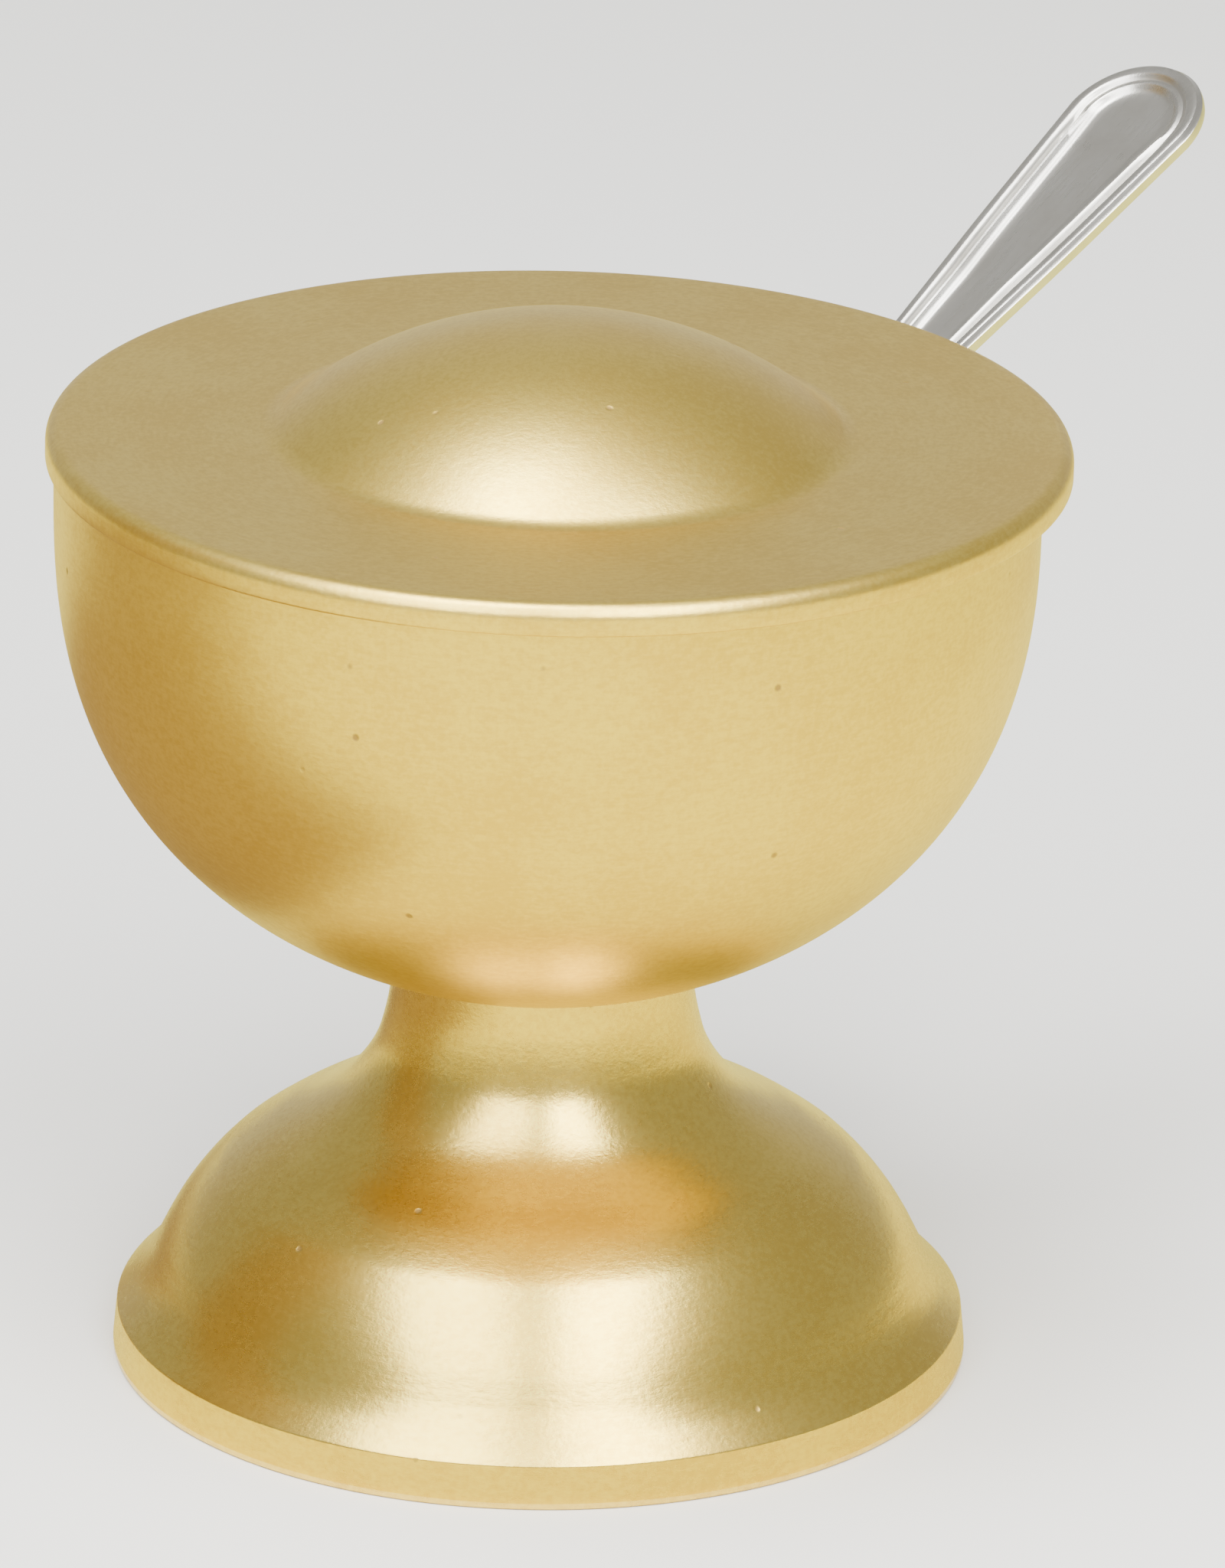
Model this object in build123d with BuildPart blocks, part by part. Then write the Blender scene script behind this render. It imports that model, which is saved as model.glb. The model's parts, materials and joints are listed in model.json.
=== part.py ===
"""Incense boat: a spun brass bowl on a bell foot, with a loose lid and a small steel spoon.

Millimetres, +Z up. The origin is the centre of the foot's base ring, on the surface it stands on.
The spoon leaves the bowl through a notch in the rim, at the right rear when seen along +Y.
"""

import os
from math import acos, cos, degrees, radians, sin

from build123d import *

# Bowl: a vertical band below the rim, then a superellipse down to a flat land.
BOWL_RADIUS = 40.4
BOWL_RIM_Z = 79.1
BOWL_SHOULDER_Z = 74.5
BOWL_DEPTH = 41.3
BOWL_WALL = 1.0
SIDE_POWER = 1.91
DEPTH_POWER = 2.5
LAND_RADIUS = 6.5
CURVE_STEPS = 10

# Foot: base band, flare, bell and neck.
FOOT_RADIUS = 35.6
FOOT_WALL = 1.0
BAND_HEIGHT = 3.9
BAND_TAPER = 0.3
BAND_FLAT = 0.6
NECK_RADIUS = 12.4
DISH_MID_RADIUS = 9.5
SEAT_GAP = 0.05

# Lid: a flat sheet disc with a turned-down edge and a low pressed dome.
LID_RADIUS = 42.0
LID_SHEET = 0.5
LID_TOP_Z = 80.4
LID_SKIRT = 2.6
LID_EDGE_ROUND = 1.3
LID_TILT = 0.7
LID_SHIFT = (0.95, 0.35)
DOME_RADIUS = 23.6
DOME_HEIGHT = 8.8
DOME_FILLET = 3.0

# Spoon: where it crosses the rim, which way it points, and its lengths along the handle from there.
SPOON_AZIMUTH = 43.5
SPOON_SLOPE = 31.0
SPOON_CROSS_RADIUS = 40.0
SPOON_CROSS_Z = 75.9
HANDLE_THICKNESS = 1.8
HANDLE_TIP = 38.4
TIP_RADIUS = 6.7
HANDLE_START = -38.5
NECK_HALF_WIDTH = 2.1
SHANK_MID = -18.0
SHANK_HALF_WIDTH = 2.4
CROSS_HALF_WIDTH = 3.65
HANDLE_MID = 16.7
MID_HALF_WIDTH = 5.55
FIELD_BORDER = 2.1
FIELD_START = -8.0
FIELD_HALF_WIDTH = 0.9
FIELD_DEPTH = 0.3
SPOON_BOWL_START = -36.5
SPOON_BOWL_END = -70.5
SPOON_BOWL_DEPTH = 4.8
SPOON_BOWL_WIDTH = 21.5
SPOON_BOWL_SHEET = 0.9

# The notch that lets the handle out under the lid, through the rim and the lid's skirt.
NOTCH_WIDTH = 9.4
NOTCH_FLOOR_Z = 74.0
NOTCH_CORNER = 1.0
NOTCH_REACH = 4.0

# M5 fixing between bowl and foot.
THREAD_RADIUS = 2.45
CLEARANCE_RADIUS = 2.75
HEAD_RADIUS = 4.75
HEAD_HEIGHT = 2.6
SLOT_WIDTH = 1.2
SLOT_DEPTH = 1.2
SCREW_LENGTH = 10.0
WASHER_RADIUS = 5.0
WASHER_BORE = 2.65
WASHER_THICKNESS = 1.0
LOCK_RADIUS = 4.5
LOCK_BORE = 2.55
LOCK_THICKNESS = 1.2
LOCK_GAP = 0.8
NUT_FLATS = 8.0
NUT_HEIGHT = 4.0
NUT_BORE = 2.5


def bowl_z(radius, reach, depth):
    """Height of the superellipse of that reach and depth where it has the given radius."""
    return BOWL_SHOULDER_Z - depth * (1 - (radius / reach) ** SIDE_POWER) ** (1 / DEPTH_POWER)


def bowl_curve(reach, depth, inner_radius):
    """Points down the superellipse, from the shoulder to the given radius near the bottom."""
    last = acos((inner_radius / reach) ** (SIDE_POWER / 2))
    angles = [last * step / CURVE_STEPS for step in range(CURVE_STEPS + 1)]
    return [
        (reach * cos(a) ** (2 / SIDE_POWER), BOWL_SHOULDER_Z - depth * sin(a) ** (2 / DEPTH_POWER))
        for a in angles
    ]


def inset(curve, position, wall):
    """The point one wall's thickness to the left of a curve, at a position from 0 to 1 along it."""
    tangent = curve % position
    return curve @ position + Vector(-tangent.Y, tangent.X) * wall


os.makedirs("parts", exist_ok=True)
inner_reach = BOWL_RADIUS - BOWL_WALL
inner_depth = BOWL_DEPTH - BOWL_WALL
seat_z = bowl_z(LAND_RADIUS, BOWL_RADIUS, BOWL_DEPTH)
floor_z = bowl_z(LAND_RADIUS, inner_reach, inner_depth)
washer_z = seat_z - SEAT_GAP - FOOT_WALL - WASHER_THICKNESS
lock_z = washer_z - LOCK_THICKNESS
nut_z = lock_z - NUT_HEIGHT

# Frames shared by several pieces: the notch faces out of the rim, the spoon lies along its handle.
azimuth = radians(SPOON_AZIMUTH)
slope = radians(SPOON_SLOPE)
radial = Vector(cos(azimuth), sin(azimuth), 0)
notch_frame = Plane(radial * BOWL_RADIUS, x_dir=(-sin(azimuth), cos(azimuth), 0), z_dir=radial)
spoon_frame = Plane(
    origin=radial * SPOON_CROSS_RADIUS + Vector(0, 0, SPOON_CROSS_Z),
    x_dir=(cos(slope) * cos(azimuth), cos(slope) * sin(azimuth), sin(slope)),
    z_dir=(-sin(slope) * cos(azimuth), -sin(slope) * sin(azimuth), cos(slope)),
)
lid_frame = Plane(
    origin=(LID_SHIFT[0], LID_SHIFT[1], LID_TOP_Z),
    x_dir=(cos(radians(LID_TILT)), 0, -sin(radians(LID_TILT))),
    z_dir=(sin(radians(LID_TILT)), 0, cos(radians(LID_TILT))),
)

# Bowl: one spun sheet with a rounded rim, a hole in its land and the notch in its rim.
with BuildPart() as bowl:
    with BuildSketch(Plane.XZ):
        with BuildLine():
            outside = Spline(bowl_curve(BOWL_RADIUS, BOWL_DEPTH, LAND_RADIUS), tangents=[(0, -1), (-1, -0.1)])
            inside = Spline(bowl_curve(inner_reach, inner_depth, LAND_RADIUS), tangents=[(0, -1), (-1, -0.1)])
            Polyline(outside @ 1, (CLEARANCE_RADIUS, seat_z), (CLEARANCE_RADIUS, floor_z), inside @ 1)
            Polyline(inside @ 0, (inner_reach, BOWL_RIM_Z), (BOWL_RADIUS, BOWL_RIM_Z), outside @ 0)
        make_face()
    revolve(axis=Axis.Z)
    fillet(bowl.edges().group_by(Axis.Z)[-1], radius=0.4 * BOWL_WALL)
    with BuildSketch(notch_frame):
        with Locations((0, BOWL_RIM_Z)):
            RectangleRounded(NOTCH_WIDTH, 2 * (BOWL_RIM_Z - NOTCH_FLOOR_Z), NOTCH_CORNER)
    extrude(amount=NOTCH_REACH, both=True, mode=Mode.SUBTRACT)
bowl.part.label = "bowl"

# Foot: one spun sheet, open below, whose neck is closed by a top dished to the bowl's underside.
with BuildPart() as foot:
    with BuildSketch(Plane.XZ):
        with BuildLine():
            band = Polyline((FOOT_RADIUS, 0), (FOOT_RADIUS, BAND_FLAT), (FOOT_RADIUS - BAND_TAPER, BAND_HEIGHT))
            bell = Spline(
                band @ 1,
                (34.1, 5.0),
                (32.5, 7.2),
                (31.1, 10.0),
                (28.8, 13.5),
                (25.9, 16.5),
                (22.9, 18.6),
                (19.6, 20.5),
                (16.9, 22.5),
                (15.1, 24.6),
                (13.8, 26.9),
                (13.1, 29.2),
                (12.65, 31.5),
                (NECK_RADIUS, bowl_z(NECK_RADIUS, BOWL_RADIUS, BOWL_DEPTH) - SEAT_GAP),
                tangents=[(-1, 0.85), (0, 1)],
                tangent_scalars=[1, 0.5],
            )
            top = seat_z - SEAT_GAP
            dish_mid_z = bowl_z(DISH_MID_RADIUS, BOWL_RADIUS, BOWL_DEPTH) - SEAT_GAP
            neck_top = (bell @ 1).Y - FOOT_WALL
            dish = Spline(bell @ 1, (DISH_MID_RADIUS, dish_mid_z), (LAND_RADIUS, top))
            Polyline(dish @ 1, (CLEARANCE_RADIUS, top), (CLEARANCE_RADIUS, top - FOOT_WALL))
            under = Line((CLEARANCE_RADIUS, top - FOOT_WALL), (LAND_RADIUS, top - FOOT_WALL))
            cone = Line(under @ 1, (NECK_RADIUS - FOOT_WALL, neck_top))
            corner = (FOOT_RADIUS - BAND_TAPER - FOOT_WALL, BAND_HEIGHT - 0.45 * FOOT_WALL)
            inner_points = [inset(bell, 1 - step / 16, FOOT_WALL) for step in range(1, 16)]
            inner_bell = Spline(cone @ 1, *inner_points, corner)
            Polyline(inner_bell @ 1, (FOOT_RADIUS - FOOT_WALL, 0), (FOOT_RADIUS, 0))
        make_face()
    revolve(axis=Axis.Z)
foot.part.label = "foot"

# Lid: one pressed sheet drawn about its own slightly tipped axis, its skirt notched over the handle.
dome_sphere = (DOME_RADIUS**2 + DOME_HEIGHT**2) / (2 * DOME_HEIGHT)
dome_angle = degrees(acos((DOME_FILLET + dome_sphere - DOME_HEIGHT) / (DOME_FILLET + dome_sphere)))
with BuildPart() as lid:
    with BuildSketch(Plane(lid_frame.origin, x_dir=lid_frame.x_dir, z_dir=-lid_frame.y_dir)):
        with BuildLine():
            crown = JernArc((0, DOME_HEIGHT), (1, 0), dome_sphere, -dome_angle)
            blend = JernArc(crown @ 1, crown % 1, DOME_FILLET, dome_angle)
            flat = Line(blend @ 1, (LID_RADIUS - LID_EDGE_ROUND, 0))
            edge = JernArc(flat @ 1, (1, 0), LID_EDGE_ROUND, -90)
            Line(edge @ 1, (LID_RADIUS, -LID_SKIRT))
            offset(amount=LID_SHEET, side=Side.RIGHT)
        make_face()
    revolve(axis=Axis(lid_frame.origin, lid_frame.z_dir))
    with BuildSketch(notch_frame):
        with Locations((0, NOTCH_FLOOR_Z)):
            Rectangle(NOTCH_WIDTH, 2 * (BOWL_RIM_Z - NOTCH_FLOOR_Z))
    extrude(amount=NOTCH_REACH, both=True, mode=Mode.SUBTRACT)
lid.part.label = "lid"

# Spoon bowl: a crescent turned about an axis above the rim plane, cut off at that plane.
turning_height = ((SPOON_BOWL_WIDTH / 2) ** 2 - SPOON_BOWL_DEPTH**2) / (2 * SPOON_BOWL_DEPTH)
deepest = 0.55 * SPOON_BOWL_START + 0.45 * SPOON_BOWL_END
spoon_side = Plane(spoon_frame.origin, x_dir=spoon_frame.x_dir, z_dir=-spoon_frame.y_dir)
turning_origin = spoon_frame.origin + spoon_frame.z_dir * turning_height
with BuildPart() as spoon_bowl:
    with BuildSketch(spoon_side):
        with BuildLine():
            under = Spline(
                (SPOON_BOWL_END, 0),
                (deepest, -SPOON_BOWL_DEPTH),
                (SPOON_BOWL_START, 0),
                tangents=[(1, -0.75), (1, 0.85)],
            )
            above = Spline(*[inset(under, 1 - step / 6, SPOON_BOWL_SHEET) for step in range(7)])
            Line(under @ 0, above @ 1)
            Line(under @ 1, above @ 0)
        make_face()
    revolve(axis=Axis(turning_origin, spoon_frame.x_dir))
    split(bisect_by=spoon_frame, keep=Keep.BOTTOM)

# Spoon: the handle widens from the neck to a rounded end, with a shallow field inside its border.
field_end = TIP_RADIUS - FIELD_BORDER
with BuildPart() as spoon:
    with BuildSketch(spoon_frame):
        with BuildLine():
            side = Spline(
                (HANDLE_START, NECK_HALF_WIDTH),
                (SHANK_MID, SHANK_HALF_WIDTH),
                (0, CROSS_HALF_WIDTH),
                (HANDLE_MID, MID_HALF_WIDTH),
                (HANDLE_TIP - TIP_RADIUS, TIP_RADIUS),
                tangents=[(1, 0), (1, 0)],
            )
            mirror(about=Plane.XZ)
            RadiusArc(side @ 1, (HANDLE_TIP - TIP_RADIUS, -TIP_RADIUS), TIP_RADIUS)
            Line(side @ 0, (HANDLE_START, -NECK_HALF_WIDTH))
        make_face()
    extrude(amount=HANDLE_THICKNESS / 2, both=True)
    with BuildSketch(spoon_frame.offset(HANDLE_THICKNESS / 2)):
        with BuildLine():
            side = Spline(
                (FIELD_START, FIELD_HALF_WIDTH),
                (0, CROSS_HALF_WIDTH - FIELD_BORDER),
                (HANDLE_MID, MID_HALF_WIDTH - FIELD_BORDER),
                (HANDLE_TIP - TIP_RADIUS, field_end),
                tangents=[(1, 0), (1, 0)],
            )
            mirror(about=Plane.XZ)
            RadiusArc(side @ 1, (HANDLE_TIP - TIP_RADIUS, -field_end), field_end)
            Line(side @ 0, (FIELD_START, -FIELD_HALF_WIDTH))
        make_face()
    extrude(amount=-FIELD_DEPTH, mode=Mode.SUBTRACT)
    add(spoon_bowl.part)
spoon.part.label = "spoon"

# Screw: slotted head on the bowl floor, shank down through the foot's top.
with BuildPart() as fixing_screw:
    with BuildSketch(Plane.XY.offset(floor_z)):
        Circle(HEAD_RADIUS)
    extrude(amount=HEAD_HEIGHT)
    fillet(fixing_screw.edges().group_by(Axis.Z)[-1], radius=1.0)
    with BuildSketch(Plane.XY.offset(floor_z + HEAD_HEIGHT)):
        Rectangle(SLOT_WIDTH, 3 * HEAD_RADIUS)
    extrude(amount=-SLOT_DEPTH, mode=Mode.SUBTRACT)
    with BuildSketch(Plane.XY.offset(floor_z)):
        Circle(THREAD_RADIUS)
    extrude(amount=-SCREW_LENGTH)
    chamfer(fixing_screw.edges().group_by(Axis.Z)[0], length=0.5)
fixing_screw.part.label = "fixing_screw"

# Flat washer under the foot's closed top.
with BuildPart() as flat_washer:
    with BuildSketch(Plane.XY.offset(washer_z)):
        Circle(WASHER_RADIUS)
        Circle(WASHER_BORE, mode=Mode.SUBTRACT)
    extrude(amount=WASHER_THICKNESS)
flat_washer.part.label = "flat_washer"

# Lock washer: a split spring ring.
with BuildPart() as lock_washer:
    with BuildSketch(Plane.XY.offset(lock_z)):
        Circle(LOCK_RADIUS)
        Circle(LOCK_BORE, mode=Mode.SUBTRACT)
        with Locations((LOCK_RADIUS, 0)):
            Rectangle(LOCK_RADIUS, LOCK_GAP, mode=Mode.SUBTRACT)
    extrude(amount=LOCK_THICKNESS)
lock_washer.part.label = "lock_washer"

# Hexagon nut inside the neck.
with BuildPart() as hex_nut:
    with BuildSketch(Plane.XY.offset(nut_z)):
        RegularPolygon(radius=NUT_FLATS / 2, side_count=6, major_radius=False)
        Circle(NUT_BORE, mode=Mode.SUBTRACT)
    extrude(amount=NUT_HEIGHT)
hex_nut.part.label = "hex_nut"

for piece in (bowl, foot, lid, spoon, fixing_screw, flat_washer, lock_washer, hex_nut):
    export_step(piece.part, f"parts/{piece.part.label}.step")
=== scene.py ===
"""Incense boat with a loose lid and a small spoon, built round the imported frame.

Laid out as an add-on: property groups hold the sizes and finishes, each piece has an operator,
and main() runs them in order. Lengths are metres, in the frame's own coordinates.
"""

import json
import math

import bmesh
import bpy
from mathutils import Matrix, Quaternion, Vector


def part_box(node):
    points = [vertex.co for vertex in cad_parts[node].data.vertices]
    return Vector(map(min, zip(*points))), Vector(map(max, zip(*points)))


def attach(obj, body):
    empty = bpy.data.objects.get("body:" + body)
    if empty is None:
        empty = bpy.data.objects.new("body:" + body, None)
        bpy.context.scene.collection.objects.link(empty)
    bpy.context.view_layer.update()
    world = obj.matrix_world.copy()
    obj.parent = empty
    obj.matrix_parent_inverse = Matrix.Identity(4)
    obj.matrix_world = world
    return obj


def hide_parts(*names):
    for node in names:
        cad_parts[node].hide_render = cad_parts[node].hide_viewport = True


bl_info = {
    "name": "Incense Boat",
    "version": (1, 0, 0),
    "blender": (4, 5, 0),
    "location": "View3D > Sidebar > Incense Boat",
    "description": "Spun brass incense boat with a domed lid and a pressed steel spoon",
    "category": "Add Mesh",
}

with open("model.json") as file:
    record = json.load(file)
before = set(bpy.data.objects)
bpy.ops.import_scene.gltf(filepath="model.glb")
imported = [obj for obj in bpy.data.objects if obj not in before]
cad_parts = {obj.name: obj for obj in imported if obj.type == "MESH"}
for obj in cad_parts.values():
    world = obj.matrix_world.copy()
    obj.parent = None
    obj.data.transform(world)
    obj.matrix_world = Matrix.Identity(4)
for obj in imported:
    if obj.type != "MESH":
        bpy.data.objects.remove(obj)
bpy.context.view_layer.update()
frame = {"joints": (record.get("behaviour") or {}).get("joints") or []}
MM = 0.001
TURN = 2 * math.pi

SHARP_EDGE = math.radians(32)  # edges sharper than this are shaded as corners
SCREW_HOLE = 2.75 * MM  # radius of the holes that the screw passes through
LAND = 6.5 * MM  # radius of the flat round those holes
SEAT_GAP = 0.05 * MM  # between the foot's dished top and the bowl
BUMP_HEIGHT = 0.04 * MM  # height of a surface texture's full range

BOWL_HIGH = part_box("bowl")[1]
FOOT_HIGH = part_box("foot")[1]
LID_LOW, LID_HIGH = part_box("lid")
SPOON_AXIS = Vector(next(j["axis"] for j in frame["joints"] if j["child"] == "spoon")).normalized()
SPOON_SIDE = Vector((-SPOON_AXIS.y, SPOON_AXIS.x, 0)).normalized()
SPOON_UP = SPOON_AXIS.cross(SPOON_SIDE)
NOTCH_AZIMUTH = math.atan2(SPOON_AXIS.y, SPOON_AXIS.x)


def length(name, description, default):
    """A length property in metres."""
    return bpy.props.FloatProperty(
        name=name, description=description, default=default, unit="LENGTH", precision=5
    )


def angle(name, description, degrees):
    """An angle property, given in degrees."""
    return bpy.props.FloatProperty(
        name=name, description=description, default=math.radians(degrees), subtype="ANGLE"
    )


def colour(name, description, default):
    """A linear colour property."""
    return bpy.props.FloatVectorProperty(
        name=name, description=description, default=default, size=3, subtype="COLOR", min=0, max=1
    )


def amount(name, description, default):
    """A plain number property."""
    return bpy.props.FloatProperty(name=name, description=description, default=default)


class BoatBowlSizes(bpy.types.PropertyGroup):
    """Sizes of the spun bowl."""

    radius: length("Radius", "Outside radius of the straight band", BOWL_HIGH.x)
    rim: length("Rim height", "Height of the rim", BOWL_HIGH.z)
    shoulder: length("Shoulder height", "Where the straight band ends", 74.5 * MM)
    depth: length("Depth", "From the shoulder to the lowest point", 41.3 * MM)
    wall: length("Wall", "Sheet thickness", 1.0 * MM)
    notch_width: length("Notch width", "Width of the spoon notch", 9.4 * MM)
    notch_floor: length("Notch floor", "Height of the bottom of the notch", 74.0 * MM)
    side_power: amount("Side power", "How full the sides are", 1.91)
    depth_power: amount("Depth power", "How round the bottom is", 2.5)


class BoatFootSizes(bpy.types.PropertyGroup):
    """Sizes of the bell foot."""

    radius: length("Radius", "Outside radius at the base", FOOT_HIGH.x)
    band: length("Band height", "Height of the straight base band", 3.9 * MM)
    taper: length("Band taper", "How much the band leans in", 0.3 * MM)
    neck: length("Neck radius", "Outside radius under the bowl", 12.4 * MM)
    wall: length("Wall", "Sheet thickness", 1.0 * MM)


class BoatLidSizes(bpy.types.PropertyGroup):
    """Sizes of the pressed lid."""

    radius: length("Radius", "Outside radius of the skirt", 42.0 * MM)
    sheet: length("Sheet", "Sheet thickness", 0.5 * MM)
    skirt: length("Skirt", "Depth of the turned-down edge", 2.6 * MM)
    edge: length("Edge radius", "Rounding of the turned-down edge", 1.3 * MM)
    dome_radius: length("Dome radius", "Radius of the dome at the flat", 23.6 * MM)
    dome_height: length("Dome height", "Height of the dome over the flat", 8.8 * MM)
    dome_fillet: length("Dome fillet", "Rounding where the dome meets the flat", 3.0 * MM)
    top: length("Top height", "Height of the flat at the lid's centre", 80.4 * MM)
    tilt: angle("Tilt", "How far the lid leans to the right", 0.7)


class BoatSpoonSizes(bpy.types.PropertyGroup):
    """Sizes of the pressed spoon, measured along it from where it crosses the rim."""

    cross_radius: length("Crossing radius", "Distance from the vessel's axis at the crossing", 40 * MM)
    cross_height: length("Crossing height", "Height of the handle's middle at the crossing", 75.9 * MM)
    tip: length("Tip", "Where the handle ends", 38.4 * MM)
    tip_radius: length("Tip radius", "Rounding of the handle's end", 6.7 * MM)
    end: length("Bowl end", "Where the spoon's bowl ends", -70.5 * MM)
    start: length("Bowl start", "Where the spoon's bowl meets the neck", -36.5 * MM)
    depth: length("Bowl depth", "Depth of the spoon's bowl", 4.8 * MM)
    width: length("Bowl width", "Width of the spoon's bowl", 21.5 * MM)
    sheet: length("Sheet", "Thickness of the spoon's bowl", 0.9 * MM)
    thickness: length("Handle thickness", "Thickness of the handle at its border", 1.7 * MM)
    relief: length("Relief", "Height of the border over the sunk field", 0.75 * MM)


class BoatFinish(bpy.types.PropertyGroup):
    """Colours of the metals."""

    brass: colour("Brass", "Body colour of the brass", (0.795, 0.595, 0.13))
    brass_worn: colour("Dull brass", "Colour of the duller, darker brass", (0.685, 0.478, 0.09))
    brass_pit: colour("Pits", "Colour inside the small pits", (0.33, 0.21, 0.085))
    steel: colour("Steel", "Body colour of the spoon", (0.70, 0.685, 0.64))
    steel_worn: colour("Dull steel", "Colour of the duller steel", (0.58, 0.56, 0.51))
    # painted shade: the colour that the spoon's grooves and sunk field are darkened towards
    steel_painted_shade: colour("Steel grooves", "Colour of the spoon's grooves", (0.30, 0.29, 0.265))
    fixing: colour("Fixing brass", "Colour of the screw, nut and flat washer", (0.74, 0.55, 0.24))
    fixing_dirt: colour("Fixing dirt", "Colour of the dirt on them", (0.28, 0.18, 0.07))
    zinc: colour("Zinc", "Colour of the lock washer", (0.55, 0.57, 0.58))
    zinc_dirt: colour("Zinc dirt", "Colour of the dirt on it", (0.16, 0.15, 0.14))


class BoatStage(bpy.types.PropertyGroup):
    """Camera and light."""

    distance: length("Camera distance", "From the camera to its target", 1.1)
    target: length("Target height", "Height that the camera looks at", 0.040)
    elevation: angle("Elevation", "Camera height over the horizon", 21.25)
    roll: angle("Roll", "How far the camera leans", 0.65)
    lens: amount("Lens", "Focal length in millimetres, on the long side", 305.5)
    shift_x: amount("Shift X", "Sideways shift of the picture", 0.0440)
    shift_y: amount("Shift Y", "Upward shift of the picture", 0.0698)
    floor: colour("Floor", "Colour of the floor", (0.80, 0.80, 0.79))
    sky: amount("Sky", "Strength of the even light from all round", 0.51)


GROUPS = {
    "boat_bowl": BoatBowlSizes,
    "boat_foot": BoatFootSizes,
    "boat_lid": BoatLidSizes,
    "boat_spoon": BoatSpoonSizes,
    "boat_finish": BoatFinish,
    "boat_stage": BoatStage,
}


# Node trees: values are worked out as Python expressions.


class Value:
    """A number socket in a node tree that can be used in an expression."""

    def __init__(self, graph, socket):
        self.graph = graph
        self.socket = socket

    def maths(self, operation, *others):
        """The result of one Math node with this value first."""
        inputs = dict(enumerate((self, *others)))
        return self.graph.node("ShaderNodeMath", {"operation": operation}, inputs)[0]

    def __add__(self, other):
        return self.maths("ADD", other)

    def __sub__(self, other):
        return self.maths("SUBTRACT", other)

    def __rsub__(self, other):
        return (self * -1) + other

    def __mul__(self, other):
        return self.maths("MULTIPLY", other)

    def __truediv__(self, other):
        return self.maths("DIVIDE", other)

    def __mod__(self, other):
        return self.maths("MODULO", other)

    __radd__ = __add__
    __rmul__ = __mul__

    def step(self, low, high):
        """0 below low, 1 above high, smooth between."""
        settings = {"interpolation_type": "SMOOTHSTEP"}
        return self.graph.node("ShaderNodeMapRange", settings, {0: self, 1: low, 2: high})[0]


class Graph:
    """A node tree and the one way that nodes are added to it."""

    def __init__(self, tree):
        self.tree = tree

    def node(self, kind, settings=None, inputs=None):
        """Adds a node, its settings first, then its inputs. Returns its visible outputs as values."""
        made = self.tree.nodes.new(kind)
        for name, value in (settings or {}).items():
            setattr(made, name, value)
        for key, value in (inputs or {}).items():
            socket = made.inputs[key]
            if isinstance(value, Value):
                self.tree.links.new(value.socket, socket)
            else:
                socket.default_value = value
        return [Value(self, out) for out in made.outputs]

    def mix(self, factor, first, second):
        """A colour between two colours."""
        settings = {"data_type": "RGBA", "clamp_factor": True}
        inputs = {0: factor, 6: first, 7: second}
        return self.node("ShaderNodeMix", settings, inputs)[2]


def spin_tree():
    """The geometry nodes that turn a section once round Z into a closed sheet."""
    tree = bpy.data.node_groups.new("Spin Section", "GeometryNodeTree")
    face = tree.interface
    face.new_socket("Section", in_out="INPUT", socket_type="NodeSocketGeometry")
    face.new_socket("Columns", in_out="INPUT", socket_type="NodeSocketInt")
    face.new_socket("Section Points", in_out="INPUT", socket_type="NodeSocketInt")
    face.new_socket("Weld Distance", in_out="INPUT", socket_type="NodeSocketFloat")
    face.new_socket("Material", in_out="INPUT", socket_type="NodeSocketMaterial")
    face.new_socket("Geometry", in_out="OUTPUT", socket_type="NodeSocketGeometry")
    graph = Graph(tree)
    section, columns, points, weld, material = graph.node("NodeGroupInput")[:5]
    size = {"Vertices X": columns + 1, "Vertices Y": points}
    grid = graph.node("GeometryNodeMeshGrid", None, size)[0]
    index = graph.node("GeometryNodeInputIndex")[0]
    row = index % points
    column = (index / points).maths("FLOOR")
    place = graph.node("GeometryNodeInputPosition")[0]
    sample = {"data_type": "FLOAT_VECTOR", "domain": "POINT"}
    inputs = {"Geometry": section, "Value": place, "Index": row}
    point = graph.node("GeometryNodeSampleIndex", sample, inputs)[0]
    radius, _, height = graph.node("ShaderNodeSeparateXYZ", None, {0: point})
    turn = column * TURN / columns
    inputs = {0: radius * turn.maths("COSINE"), 1: radius * turn.maths("SINE"), 2: height}
    spun = graph.node("ShaderNodeCombineXYZ", None, inputs)[0]
    sheet = graph.node("GeometryNodeSetPosition", None, {"Geometry": grid, "Position": spun})[0]
    sheet = graph.node("GeometryNodeMergeByDistance", None, {"Geometry": sheet, "Distance": weld})[0]
    sheet = graph.node("GeometryNodeRealizeInstances", None, {"Geometry": sheet})[0]
    sheet = graph.node("GeometryNodeSetMaterial", None, {"Geometry": sheet, "Material": material})[0]
    graph.node("NodeGroupOutput", None, {0: sheet})
    return tree


# Sections and meshes.


def arc(centre, radius, start, end, steps=12):
    """Points on an arc in a section plane, angles in degrees."""
    turns = [math.radians(start + (end - start) * k / steps) for k in range(steps + 1)]
    return [(centre[0] + radius * math.cos(a), centre[1] + radius * math.sin(a)) for a in turns]


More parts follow.
